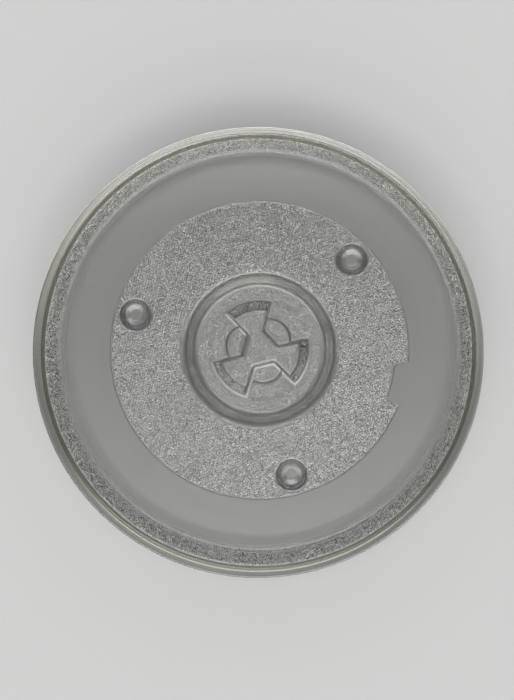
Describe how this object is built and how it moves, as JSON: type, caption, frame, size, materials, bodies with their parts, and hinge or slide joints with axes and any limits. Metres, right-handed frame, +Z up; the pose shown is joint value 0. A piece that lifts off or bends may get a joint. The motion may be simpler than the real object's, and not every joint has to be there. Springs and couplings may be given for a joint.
{
  "type": "microwave turntable plate",
  "caption": "Round pressed-glass plate with a raised beaded rim, a stippled underside, a smooth roller track and a winged drive socket; it carries food round in a microwave oven.",
  "frame": {"origin": "on the plate's axis, at the flat face of the hub that the plate rests on", "axes": "+Z up out of the food side, along the axis of turning; +X and +Y lie in the plate, with a socket lug and a nub at 44 degrees from +X"},
  "size_m": [0.245, 0.245, 0.024],
  "materials": {
    "pressed_glass": "clear pressed glass, smooth on the food side and stippled underneath"
  },
  "bodies": {
    "root": {"turntable_plate": "pressed_glass"}
  },
  "joints": []
}
